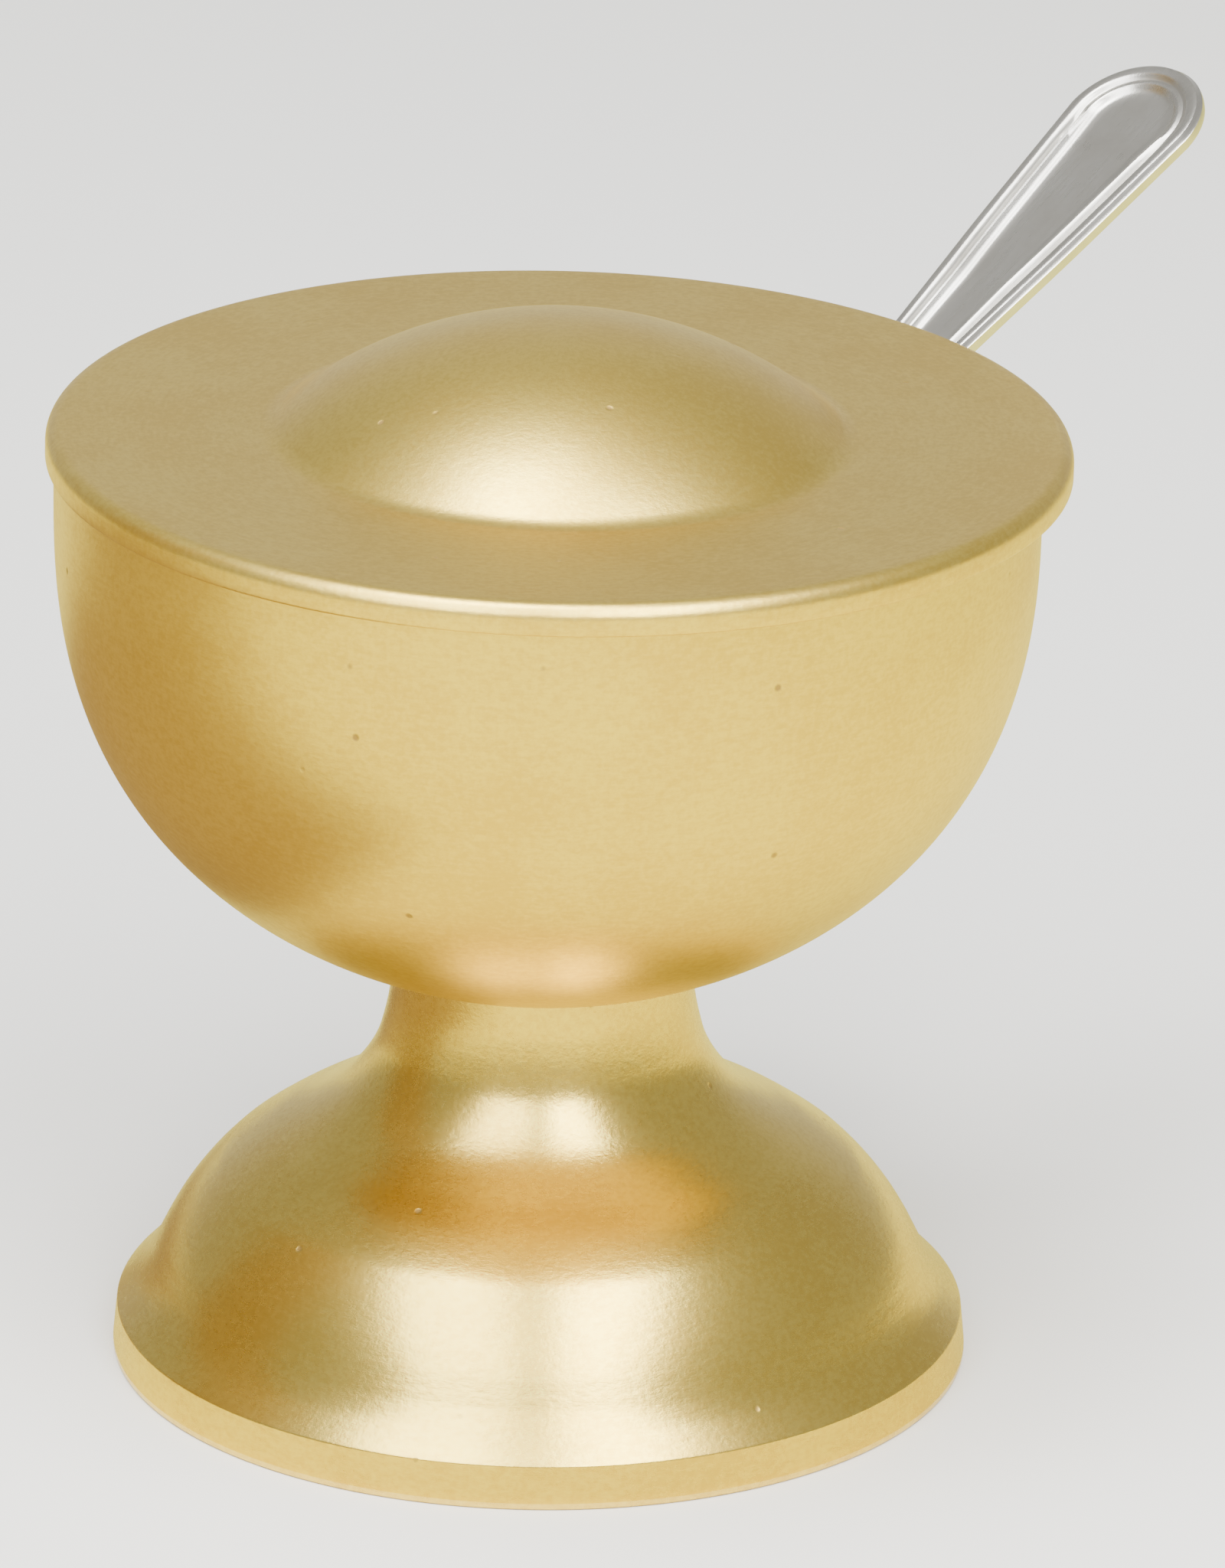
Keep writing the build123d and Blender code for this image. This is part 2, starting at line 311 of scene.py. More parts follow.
def run(points, steps=10):
    """A smooth line through points, with the chord of its neighbours as the tangent at each."""
    ends = [points[0], *points, points[-1]]
    line = []
    for a, b, c, d in zip(ends, ends[1:], ends[2:], ends[3:]):
        a, b, c, d = (Vector((*p, 0)) for p in (a, b, c, d))
        for k in range(steps):
            t = k / steps
            start, end = (c - a) * 0.5, (d - b) * 0.5
            p = b * (2 * t**3 - 3 * t**2 + 1) + start * (t**3 - 2 * t**2 + t)
            p += c * (3 * t**2 - 2 * t**3) + end * (t**3 - t**2)
            line.append((p.x, p.y))
    return [*line, points[-1]]


def split_run(first, last, steps):
    """A straight line cut into equal steps, without its last point."""
    return [
        (first[0] + (last[0] - first[0]) * k / steps, first[1] + (last[1] - first[1]) * k / steps)
        for k in range(steps)
    ]


def inset(line, wall):
    """The line moved to its left by the wall's thickness."""
    moved = []
    for k, point in enumerate(line):
        before, after = line[max(k - 1, 0)], line[min(k + 1, len(line) - 1)]
        along = Vector((after[0] - before[0], after[1] - before[1])).normalized()
        moved.append((point[0] - along.y * wall, point[1] + along.x * wall))
    return moved


def clean(section, gap=0.00002):
    """The section without points that all but repeat the one before."""
    kept = [section[0]]
    for point in section[1:]:
        if math.dist(point, kept[-1]) > gap:
            kept.append(point)
    return kept


def new_object(name, mesh):
    """An object for a mesh, in the scene."""
    made = bpy.data.objects.new(name, mesh)
    bpy.context.scene.collection.objects.link(made)
    return made


def dress(piece, material):
    """Shades a piece smooth except at sharp edges, faces it outwards and gives it one material."""
    shape = bmesh.new()
    shape.from_mesh(piece.data)
    bmesh.ops.remove_doubles(shape, verts=shape.verts, dist=1e-7)
    bmesh.ops.dissolve_degenerate(shape, edges=shape.edges, dist=1e-8)
    bmesh.ops.recalc_face_normals(shape, faces=shape.faces)
    for face in shape.faces:
        face.smooth = True
        face.material_index = 0
    for edge in shape.edges:
        edge.smooth = len(edge.link_faces) != 2 or edge.calc_face_angle(0) < SHARP_EDGE
    shape.to_mesh(piece.data)
    shape.free()
    piece.data.materials.clear()
    piece.data.materials.append(material)


def spin(name, section, material, columns=256, closed=True):
    """A section, given as (radius, height) points, turned into a plain mesh piece."""
    section = clean(section)
    if closed:
        section.append(section[0])
    line = bpy.data.meshes.new(name)
    line.from_pydata([(r, 0, z) for r, z in section], [], [])
    source = new_object(name + "_section", line)
    modifier = source.modifiers.new("Spin", "NODES")
    modifier.node_group = bpy.data.node_groups.get("Spin Section") or spin_tree()
    values = {"Columns": columns, "Section Points": len(section)}
    values.update({"Weld Distance": 1e-6, "Material": material})
    for item in modifier.node_group.interface.items_tree:
        if item.in_out == "INPUT" and item.name in values:
            modifier[item.identifier] = values[item.name]
    ready = source.evaluated_get(bpy.context.evaluated_depsgraph_get())
    mesh = bpy.data.meshes.new_from_object(ready)
    source.modifiers.clear()
    bpy.data.objects.remove(source)
    mesh.name = name
    piece = new_object(name, mesh)
    dress(piece, material)
    return piece


def cut(piece, cutter, operation="DIFFERENCE"):
    """Cuts a closed cutter out of a piece, or keeps what lies in it, and removes the cutter."""
    modifier = piece.modifiers.new("Cut", "BOOLEAN")
    modifier.operation, modifier.solver, modifier.object = operation, "EXACT", cutter
    ready = piece.evaluated_get(bpy.context.evaluated_depsgraph_get())
    mesh = bpy.data.meshes.new_from_object(ready)
    piece.modifiers.clear()
    piece.data = mesh
    bpy.data.objects.remove(cutter)
    dress(piece, mesh.materials[0])


def block(name, outline, place, low, high):
    """A closed prism: a flat outline of (across, up) points, put at two depths by a place function."""
    points = [place(across, up, reach) for reach in (low, high) for across, up in outline]
    count = len(outline)
    faces = [tuple(range(count)), tuple(range(2 * count - 1, count - 1, -1))]
    faces += [(k, k + count, (k + 1) % count + count, (k + 1) % count) for k in range(count)]
    mesh = bpy.data.meshes.new(name)
    mesh.from_pydata([tuple(p) for p in points], [], faces)
    shape = bmesh.new()
    shape.from_mesh(mesh)
    bmesh.ops.recalc_face_normals(shape, faces=shape.faces)
    shape.to_mesh(mesh)
    shape.free()
    return new_object(name, mesh)


def upright(across, along, height):
    """The place function of a prism that stands along Z."""
    return Vector((across, along, height))


def notch_cutter(width, low, high, corner, radius):
    """A block through the wall at the notch, its lower corners rounded."""
    half = width / 2
    outline = [(-half, high), *arc((corner - half, low + corner), corner, 180, 270, 6)]
    outline += [*arc((half - corner, low + corner), corner, 270, 360, 6), (half, high)]
    radial = Vector((math.cos(NOTCH_AZIMUTH), math.sin(NOTCH_AZIMUTH), 0))

    def place(across, up, reach):
        return radial * reach + SPOON_SIDE * across + Vector((0, 0, up))

    return block("notch", outline, place, radius - 5 * MM, radius + 5 * MM)


def grid_piece(name, rows, material, wrap=False):
    """A mesh piece from rows of points, all of one length; wrap joins the last row to the first."""
    count, across = len(rows), len(rows[0])
    faces = []
    for i in range(count if wrap else count - 1):
        for j in range(across - 1):
            a, b = i * across + j, (i + 1) % count * across + j
            faces.append((a, b, b + 1, a + 1))
    mesh = bpy.data.meshes.new(name)
    mesh.from_pydata([tuple(p) for row in rows for p in row], [], faces)
    piece = new_object(name, mesh)
    dress(piece, material)
    return piece


def close_holes(piece):
    """Fills the open ends of a piece."""
    shape = bmesh.new()
    shape.from_mesh(piece.data)
    bmesh.ops.holes_fill(shape, edges=[e for e in shape.edges if e.is_boundary])
    shape.to_mesh(piece.data)
    shape.free()


def join(name, pieces):
    """Joins pieces of one material into one."""
    shape = bmesh.new()
    for piece in pieces:
        shape.from_mesh(piece.data)
    mesh = bpy.data.meshes.new(name)
    shape.to_mesh(mesh)
    shape.free()
    mesh.materials.append(pieces[0].data.materials[0])
    for piece in pieces:
        bpy.data.objects.remove(piece)
    return new_object(name, mesh)


# Metals.


def metal(name, build):
    """A material whose Principled inputs come from a function of its graph."""
    made = bpy.data.materials.new(name)
    made.use_nodes = True
    made.node_tree.nodes.clear()
    graph = Graph(made.node_tree)
    surface = graph.node("ShaderNodeBsdfPrincipled", None, build(graph))[0]
    graph.node("ShaderNodeOutputMaterial", None, {"Surface": surface})
    return made


def turned_place(graph, centre):
    """Object coordinates about an upright axis: the point, its direction, radius and height."""
    place = graph.node("ShaderNodeTexCoord")[3]
    place = graph.node("ShaderNodeVectorMath", {"operation": "SUBTRACT"}, {0: place, 1: centre})[0]
    x, y, z = graph.node("ShaderNodeSeparateXYZ", None, {0: place})
    radius = (x * x + y * y).maths("SQRT").maths("MAXIMUM", 0.0001)
    return place, x / radius, y / radius, radius, z


def noise(graph, place, scale, detail=2.0, rough=0.5, w=None):
    """A noise value from 0 to 1."""
    inputs = {"Vector": place, "Scale": scale, "Detail": detail, "Roughness": rough}
    if w is not None:
        inputs["W"] = w
    settings = {"noise_dimensions": "3D" if w is None else "4D"}
    return graph.node("ShaderNodeTexNoise", settings, inputs)[0]


def turned_marks(graph, spot, fine, around, detail, rough):
    """Noise drawn out round the axis, at so many marks per metre across and per radius round."""
    _, east, north, radius, height = spot
    inputs = {0: radius * fine, 1: height * fine, 2: east * around}
    along = graph.node("ShaderNodeCombineXYZ", None, inputs)[0]
    return noise(graph, along, 1.0, detail, rough, north * around)


def scattered_pits(graph, place, scale, edge, chosen):
    """Small pits in some of a scatter's cells: 1 inside a pit, 0 outside."""
    inputs = {"Vector": place, "Scale": scale}
    cells = graph.node("ShaderNodeTexVoronoi", {"feature": "F1"}, inputs)
    chance = graph.node("ShaderNodeSeparateColor", None, {0: cells[1]})[0]
    return (1 - cells[0].step(0.03, edge)) * chance.step(*chosen)


def textured(graph, relief, strength):
    """The surface normal over a fine relief."""
    inputs = {"Strength": strength, "Distance": BUMP_HEIGHT, "Height": relief}
    return graph.node("ShaderNodeBump", None, inputs)[0]


def satin_brass(name, finish, centre=(0, 0, 0), roughness=0.30):
    """Brass polished on the lathe: fine rings, soft mottling, a grain and a few small pits."""

    def build(graph):
        spot = turned_place(graph, centre)
        rings = turned_marks(graph, spot, 2900, 30, 3.0, 0.7)
        bands = turned_marks(graph, spot, 900, 2, 3.0, 0.6)
        mottle = noise(graph, spot[0], 75, 4.0, 0.6)
        grain = noise(graph, spot[0], 1900, 2.0, 0.6)
        pits = scattered_pits(graph, spot[0], 210, 0.085, (0.66, 0.74))
        dull = mottle.step(0.35, 0.75) * 0.4 + bands * 0.2
        dull = dull + grain.step(0.3, 0.7) * 0.35 + rings.step(0.3, 0.7) * 0.35
        body = graph.mix(dull.step(0.15, 1.0), (*finish.brass, 1), (*finish.brass_worn, 1))
        return {
            "Base Color": graph.mix(pits * 0.75, body, (*finish.brass_pit, 1)),
            "Metallic": 1.0,
            "Roughness": roughness + rings * 0.05 + mottle * 0.07 + pits * 0.25,
            "Normal": textured(graph, rings + bands * 0.15 + grain * 0.7 - pits * 2.5, 0.42),
        }

    return metal(name, build)


def pressed_steel(name, finish):
    """Stamped stainless steel: bright, scratched along its length, with shade painted into the grooves
    and the sunk field.
    """

    def build(graph):
        place = graph.node("ShaderNodeTexCoord")[3]
        inward = Matrix((SPOON_AXIS, SPOON_SIDE, SPOON_UP)).to_euler()
        inputs = {"Vector": place, "Rotation": tuple(inward)}
        along = graph.node("ShaderNodeMapping", {"vector_type": "POINT"}, inputs)[0]
        x, y, z = graph.node("ShaderNodeSeparateXYZ", None, {0: along})
        inputs = {0: x * 160, 1: y * 5200, 2: z * 5200}
        lengthwise = graph.node("ShaderNodeCombineXYZ", None, inputs)[0]
        scratches = noise(graph, lengthwise, 1.0, 3.0, 0.65)
        mottle = noise(graph, place, 160, 4.0, 0.6)
        grain = noise(graph, place, 2600, 2.0, 0.5)
        sunk = graph.node("ShaderNodeAttribute", {"attribute_name": "sunk"})[2]
        pits = scattered_pits(graph, place, 150, 0.09, (0.78, 0.84))
        # painted shade: the grooves and the sunk field are darkened towards the shade colour, along
        # with the pits' own dark
        dark = (sunk * (0.55 + mottle * 0.6) + pits * 0.7).maths("MINIMUM", 1.0)
        body = graph.mix(mottle.step(0.3, 0.8), (*finish.steel, 1), (*finish.steel_worn, 1))
        return {
            "Base Color": graph.mix(dark, body, (*finish.steel_painted_shade, 1)),
            "Metallic": 1.0,
            "Roughness": 0.17 + scratches * 0.08 + mottle * 0.06 + sunk * 0.18,
            "Normal": textured(graph, scratches * 0.5 + grain * 0.35 - pits * 1.5, 0.3),
        }

    return metal(name, build)


def machined(name, tint, dark, roughness=0.28):
    """Small turned hardware: fine tool marks and a little dirt."""

    def build(graph):
        spot = turned_place(graph, (0, 0, 0))
        marks = turned_marks(graph, spot, 6000, 3, 2.0, 0.6)
        dirt = noise(graph, spot[0], 420, 4.0, 0.6).step(0.45, 0.8)
        return {
            "Base Color": graph.mix(dirt * 0.7, (*tint, 1), (*dark, 1)),
            "Metallic": 1.0,
            "Roughness": roughness + marks * 0.08 + dirt * 0.15,
            "Normal": textured(graph, marks, 0.25),
        }

    return metal(name, build)


# Pieces.


# The foot's outline over its band, as (radius, height) in millimetres.
FOOT_MARKS = [
    (34.1, 5.0), (33.25, 6.0), (32.5, 7.2), (31.85, 8.5), (31.1, 10.0), (30.1, 11.7),
    (28.8, 13.5), (27.4, 15.1), (25.9, 16.5), (22.9, 18.6), (19.6, 20.5), (16.9, 22.5),
    (15.1, 24.6), (13.8, 26.9), (13.1, 29.2), (12.65, 31.5), (12.48, 33.2),
]

# The handle's half width along it, as (place, half width) in millimetres.
HANDLE_MARKS = [
    (-39.5, 2.0), (-30, 2.15), (-18, 2.4), (-9, 2.9), (0, 3.75), (8, 4.6), (16.7, 5.5), (24, 6.1),
]

# Distances in from the handle's edge at which its relief is drawn, in millimetres at full width.
RELIEF_STEPS = [
    0, 0.08, 0.2, 0.35, 0.5, 0.7, 0.9, 1.1, 1.25, 1.4, 1.55, 1.7, 1.85, 2.0, 2.15, 2.3, 2.5, 2.75, 3.1,
]
FULL_WIDTH = 5.0 * MM  # half width of the handle from which its relief is drawn at full size


def bowl_height(sizes, radius):
    """Height of the bowl's outside at a radius."""
    full = 1 - (radius / sizes.radius) ** sizes.side_power
    return sizes.shoulder - sizes.depth * full ** (1 / sizes.depth_power)


def bowl_side(sizes, wall, land, steps=90):
    """Points down the bowl's curve, from the shoulder to the land."""
    reach, depth = sizes.radius - wall, sizes.depth - wall
    last = math.acos((land / reach) ** (sizes.side_power / 2))
    turns = [last * (k / steps) ** 1.2 for k in range(steps + 1)]
    return [
        (
            reach * math.cos(a) ** (2 / sizes.side_power),
            sizes.shoulder - depth * math.sin(a) ** (2 / sizes.depth_power),
        )
        for a in turns
    ]


def make_bowl(sizes, material):
    """The spun bowl: rounded rim, straight band, full sides, and a flat land with a screw hole."""
    inner, soft = sizes.radius - sizes.wall, 0.4 * sizes.wall
    outside, inside = bowl_side(sizes, 0, LAND), bowl_side(sizes, sizes.wall, LAND)
    section = arc((inner + soft, sizes.rim - soft), soft, 180, 90, 6)
    section += arc((sizes.radius - soft, sizes.rim - soft), soft, 90, 0, 6)
    section += split_run((sizes.radius, sizes.rim - soft), outside[0], 5)[1:] + outside
    section += [(SCREW_HOLE, outside[-1][1]), (SCREW_HOLE, inside[-1][1]), *inside[::-1]]
    section += split_run(inside[0], (inner, sizes.rim - soft), 5)[1:]
    bowl = spin("boat_bowl", section, material)
    top = sizes.rim + 2 * MM
    cut(bowl, notch_cutter(sizes.notch_width, sizes.notch_floor, top, 1.0 * MM, sizes.radius))
    return bowl


def make_foot(sizes, bowl, material):
    """The bell foot: base band, flare, bell and neck, and a top dished to the bowl."""
    base, band, wall = sizes.radius, sizes.band, sizes.wall
    lean, soft = sizes.taper, 0.25 * MM
    edge = arc((base - 0.3 * MM, 0.3 * MM), 0.3 * MM, -90, 0, 5)
    edge += split_run((base, 0.6 * MM), (base - lean, band - soft), 4)
    edge += arc((base - lean - soft, band - soft), soft, 0, 45, 4)
    marks = [(r * MM, z * MM) for r, z in FOOT_MARKS]
    neck = (sizes.neck, bowl_height(bowl, sizes.neck) - SEAT_GAP)
    outside = clean([*edge, *run([edge[-1], *marks, neck], 8)])
    across = [r * MM for r in (12.1, 11.5, 10.5, 9.5, 8.5, 7.5, 6.5)]
    dish = [(r, bowl_height(bowl, r) - SEAT_GAP) for r in across]
    top = dish[-1][1]
    under = [(SCREW_HOLE, top), (SCREW_HOLE, top - wall), (LAND, top - wall)]
    under.append((sizes.neck - wall, neck[1] - wall))
    inside = [p for p in inset(outside, wall) if band - 0.3 * MM < p[1] < neck[1] - 1.6 * wall]
    section = [*outside, *dish, *under, *inside[::-1], (base - lean - wall, band - 0.7 * MM)]
    section += arc((base - wall + 0.2 * MM, 0.2 * MM), 0.2 * MM, 180, 270, 4)
    return spin("boat_foot", section, material)


def lid_place(sizes):
    """Turns the lid's own coordinates into the frame's."""
    middle = (LID_LOW + LID_HIGH) / 2
    turn = Matrix.Rotation(sizes.tilt, 4, "Y")
    return Matrix.Translation((middle.x, middle.y, sizes.top)) @ turn


def make_lid(sizes, bowl, material):
    """The pressed lid: a flat disc with a low dome and a turned-down edge, notched for the spoon."""
    high, soft, fillet = sizes.dome_height, sizes.edge, sizes.dome_fillet
    ball = (sizes.dome_radius**2 + high**2) / (2 * high)
    slope = math.degrees(math.acos((fillet + ball - high) / (fillet + ball)))
    foot_radius = (ball + fillet) * math.sin(math.radians(slope))
    dome = arc((0, high - ball), ball, 90, 90 - slope, 40)
    dome += arc((foot_radius, fillet), fillet, 270 - slope, 270, 14)
    corner = arc((sizes.radius - soft, -soft), soft, 90, 0, 10)
    flat = split_run(dome[-1], corner[0], 24)[1:]
    outside = clean([*dome, *flat, *corner, (sizes.radius, -sizes.skirt * 0.75)])
    half = sizes.sheet / 2
    lip = arc((sizes.radius - half, half - sizes.skirt), half, 0, -180, 8)
    inside = inset(outside, -sizes.sheet)
    inside[0] = (0, inside[0][1])
    lid = spin("boat_lid", [*outside, *lip, *inside[::-1]], material, 288, closed=False)
    lid.data.transform(lid_place(sizes))
    cut(lid, notch_cutter(bowl.notch_width, bowl.notch_floor, bowl.rim, 0.5 * MM, sizes.radius))
    return lid


def smooth(low, high, value):
    """0 below low, 1 above high, smooth between."""
    t = min(max((value - low) / (high - low), 0), 1)
    return t * t * (3 - 2 * t)


def bump(centre, width, value):
    """A soft ridge of height 1, centred in value."""
    return math.exp(-(((value - centre) / width) ** 2))


def spoon_place(sizes):
    """Turns the spoon's own coordinates (along, across, up) into the frame's."""
    radial = Vector((math.cos(NOTCH_AZIMUTH), math.sin(NOTCH_AZIMUTH), 0))
    crossing = radial * sizes.cross_radius + Vector((0, 0, sizes.cross_height))
    turn = Matrix((SPOON_AXIS, SPOON_SIDE, SPOON_UP)).transposed().to_4x4()
    return Matrix.Translation(crossing) @ turn


def handle_rays(sizes):
    """Rays across the handle from its middle line to its edge: (place along, degrees, length)."""
    marks = [(t * MM, w * MM) for t, w in HANDLE_MARKS]
    last = sizes.tip - sizes.tip_radius
    line = run([*marks, (last, sizes.tip_radius)], 14)
    left = [(t, 90.0, w) for t, w in line]
    fan = [(last, 90 - 180 * k / 48, sizes.tip_radius) for k in range(1, 48)]
    return [*left, *fan, *[(t, -90.0, w) for t, _, w in left[::-1]]]


def handle_relief(sizes, t, width, inside):
    """Height of the handle's face at a distance inside its edge, and how much painted shade it gets
    there: full in the groove, a quarter in the sunk field.
    """
    wide = min(width / FULL_WIDTH, 1)
    at = inside / (MM * wide)
    open_field = smooth(-14, 2, t / MM)
    parted = open_field * (1 - smooth(27, 36, t / MM))
    bead = smooth(0.0, 0.55, at)
    hollow = smooth(1.15, 3.1, at) * open_field
    groove = bump(1.62, 0.30, at) * parted
    ridge = bump(2.25, 0.34, at) * parted
    height = -0.55 * MM * (1 - bead) ** 2 - sizes.relief * hollow
    height += (0.36 * ridge - 0.55 * groove) * MM * wide
    return height, min(groove + 0.25 * hollow, 1)


def make_spoon(sizes, material):
    """The pressed spoon: bead, groove and ridge round a sunk field, a thin neck and a bowl."""
    half = sizes.thickness / 2
    rows, sunk = [], []
    for t, degrees, width in handle_rays(sizes):
        scale = min(width / FULL_WIDTH, 1) * MM
        ray = (math.cos(math.radians(degrees)), math.sin(math.radians(degrees)))
        steps = [d * scale for d in RELIEF_STEPS if d * scale < width * 0.9]
        steps += [steps[-1]] * (len(RELIEF_STEPS) - len(steps))
        steps += [steps[-1] + (width - steps[-1]) * k / 5 for k in range(1, 6)]
        row = []
        for inside in steps[::-1]:
            height, dark = handle_relief(sizes, t, width, inside)
            reach = width - inside
            row.append((t + ray[0] * reach, ray[1] * reach, half + height))
            sunk.append((row[-1], dark))
        for inside, height in ((0, -0.2), (0.1, -0.7), (0.4, -1.0), (1.0, -1.0)):
            reach = max(width - inside * scale, 0)
            row.append((t + ray[0] * reach, ray[1] * reach, half * height))
        row.append((t, 0, -half))
        rows.append(row)
    handle = grid_piece("handle", rows, material)
    close_holes(handle)
    spoon = join("boat_spoon", [handle, make_spoon_bowl(sizes, material)])
    # the sunk attribute carries the painted shade of the grooves and the sunk field
    shade = spoon.data.attributes.new("sunk", "FLOAT", "POINT")
    known = {tuple(round(c * 1e6) for c in p): dark for p, dark in sunk}
    for vertex in spoon.data.vertices:
        shade.data[vertex.index].value = known.get(tuple(round(c * 1e6) for c in vertex.co), 0.0)
    spoon.data.transform(spoon_place(sizes))
    return spoon


def make_spoon_bowl(sizes, material):
    """The spoon's bowl: arcs across it, closed at both ends, with a rounded edge."""
    deepest = 0.55 * sizes.start + 0.45 * sizes.end
    axis = ((sizes.width / 2) ** 2 - sizes.depth**2) / (2 * sizes.depth)

    def depth(t):
        if t < deepest:
            long, u, slope = deepest - sizes.end, (t - sizes.end) / (deepest - sizes.end), 0.75
        else:
            long, u, slope = sizes.start - deepest, (sizes.start - t) / (sizes.start - deepest), 0.85
        return sizes.depth * (3 * u**2 - 2 * u**3) + slope * long * (u**3 - 2 * u**2 + u)

    rows = []
    for k in range(65):
        t = sizes.end + (sizes.start - sizes.end) * (1 - math.cos(math.pi * k / 64)) / 2
        deep = max(depth(t), 0)
        wall = min(sizes.sheet, deep * 0.6)
        row = []
        for reach, turn_way in ((axis + deep, 1), (axis + deep - wall, -1)):
            swing = math.acos(min(axis / reach, 1)) if reach > axis else 0
            turns = [turn_way * swing * (2 * j / 28 - 1) for j in range(29)]
            row += [(t, reach * math.sin(a), axis - reach * math.cos(a)) for a in turns]
        row.append(row[0])
        rows.append(row)
    return grid_piece("spoon_bowl", rows, material)


def make_screw(material):
    """A slotted screw with a domed cheese head and a cut thread."""
    low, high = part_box("fixing_screw")
    seat, pitch, major, minor = high.z - 2.6 * MM, 0.8 * MM, 2.45 * MM, 2.05 * MM
    head = [(0, high.z), (2.6 * MM, high.z), (3.6 * MM, high.z - 0.12 * MM)]
    head += arc((3.75 * MM, high.z - 1.0 * MM), 1.0 * MM, 80, 0, 8)
    head += [*arc((4.6 * MM, seat + 0.15 * MM), 0.15 * MM, 0, -90, 4), (minor, seat)]
    head += [(minor, seat - 0.4 * MM), (0, seat - 0.4 * MM)]
    cap = spin("screw_head", head, material, 72, closed=False)
    side = [(-0.6 * MM, -6 * MM), (0.6 * MM, -6 * MM), (0.6 * MM, 6 * MM), (-0.6 * MM, 6 * MM)]
    slot = block("slot", side, upright, high.z - 1.2 * MM, high.z + 1 * MM)
    cut(cap, slot)
    top, rows = seat - 0.2 * MM, []
    for k in range(49):
        row = [(0, 0, top)]
        for j in range(121):
            z = top + (low.z - top) * j / 120
            phase = abs(((z / pitch - k / 48) % 1) * 2 - 1)
            ends = smooth(0, 0.5 * MM, z - low.z) * smooth(0, 0.3 * MM, top - z)
            chamfer = 0.5 * MM * (1 - smooth(0, 0.5 * MM, z - low.z))
            radius = minor + (major - minor) * ends * smooth(0.15, 0.85, phase) - chamfer
            row.append((radius * math.cos(TURN * k / 48), radius * math.sin(TURN * k / 48), z))
        rows.append([*row, (0, 0, low.z)])
    return join("boat_screw", [cap, grid_piece("screw_thread", rows, material)])


def ring_section(inner, outer, low, high, soft):
    """A washer's section with rounded corners."""
    section = arc((outer - soft, low + soft), soft, -90, 0, 4)
    section += arc((outer - soft, high - soft), soft, 0, 90, 4)
    section += arc((inner + soft, high - soft), soft, 90, 180, 4)
    return section + arc((inner + soft, low + soft), soft, 180, 270, 4)


def make_washer(material):
    """The flat washer."""
    low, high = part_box("flat_washer")
    section = ring_section(2.65 * MM, high.x, low.z, high.z, 0.15 * MM)
    return spin("boat_flat_washer", section, material, 96)


def make_lock_washer(material):
    """The split spring washer, one end a little above the other."""
    low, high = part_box("lock_washer")
    section = ring_section(2.55 * MM, high.x, low.z + 0.08 * MM, high.z - 0.08 * MM, 0.1 * MM)
    rows = []
    for k in range(65):
        turn, lift = math.radians(6 + 348 * k / 64), (k / 32 - 1) * 0.07 * MM
        loop = [*section, section[0]]
        rows.append([(r * math.cos(turn), r * math.sin(turn), z + lift) for r, z in loop])
    ring = grid_piece("boat_lock_washer", rows, material)
    close_holes(ring)
    dress(ring, material)
    return ring


def make_nut(material):
    """The hexagon nut, its corners chamfered and its bore threaded."""
    low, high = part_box("hex_nut")
    flats, reach, bore, tall = 4.0 * MM, 4.92 * MM, 2.5 * MM, high.z - low.z
    section = [(4.1 * MM, high.z), (reach, high.z - 0.55 * MM), (reach, low.z + 0.55 * MM)]
    section += [(4.1 * MM, low.z), (bore + 0.35 * MM, low.z)]
    for k in range(41):
        height = low.z + 0.35 * MM + (tall - 0.7 * MM) * k / 40
        section.append((bore + 0.16 * MM * (1 - math.cos(TURN * k / 8)), height))
    section.append((bore + 0.35 * MM, high.z))
    nut = spin("boat_nut", section, material, 96)
    across = flats / math.cos(math.pi / 6)
    turns = [TURN * k / 6 for k in range(6)]
    outline = [(across * math.cos(a), across * math.sin(a)) for a in turns]
    hexagon = block("hexagon", outline, upright, low.z - 1 * MM, high.z + 1 * MM)
    cut(nut, hexagon, "INTERSECT")
    return nut


# Stage.


def card(name, centre, size, target, tint):
    """A plain matt card facing a point, seen only in reflections."""
    mesh = bpy.data.meshes.new(name)
    wide, tall = size[0] / 2, size[1] / 2
    corners = [(-wide, -tall, 0), (wide, -tall, 0), (wide, tall, 0), (-wide, tall, 0)]
    mesh.from_pydata(corners, [], [(0, 1, 2, 3)])
    made = new_object(name, mesh)
    face = (Vector(target) - Vector(centre)).normalized()
    turn = face.to_track_quat("Z", "Y").to_matrix().to_4x4()
    mesh.transform(Matrix.Translation(centre) @ turn)
    material = bpy.data.materials.new(name)
    material.use_nodes = True
    material.node_tree.nodes.clear()
    graph = Graph(material.node_tree)
    paint = graph.node("ShaderNodeBsdfDiffuse", None, {"Color": (*tint, 1)})[0]
    graph.node("ShaderNodeOutputMaterial", None, {"Surface": paint})
    mesh.materials.append(material)
    made.visible_camera = made.visible_shadow = made.visible_diffuse = False


def soft_box(name, place, size, power, target):
    """An area light that faces a point."""
    light = bpy.data.lights.new(name, "AREA")
    light.shape = "RECTANGLE"
    light.size, light.size_y = size
    light.energy = power
    made = bpy.data.objects.new(name, light)
    made.location = place
    made.rotation_euler = (Vector(target) - Vector(place)).to_track_quat("-Z", "Y").to_euler()
    bpy.context.scene.collection.objects.link(made)


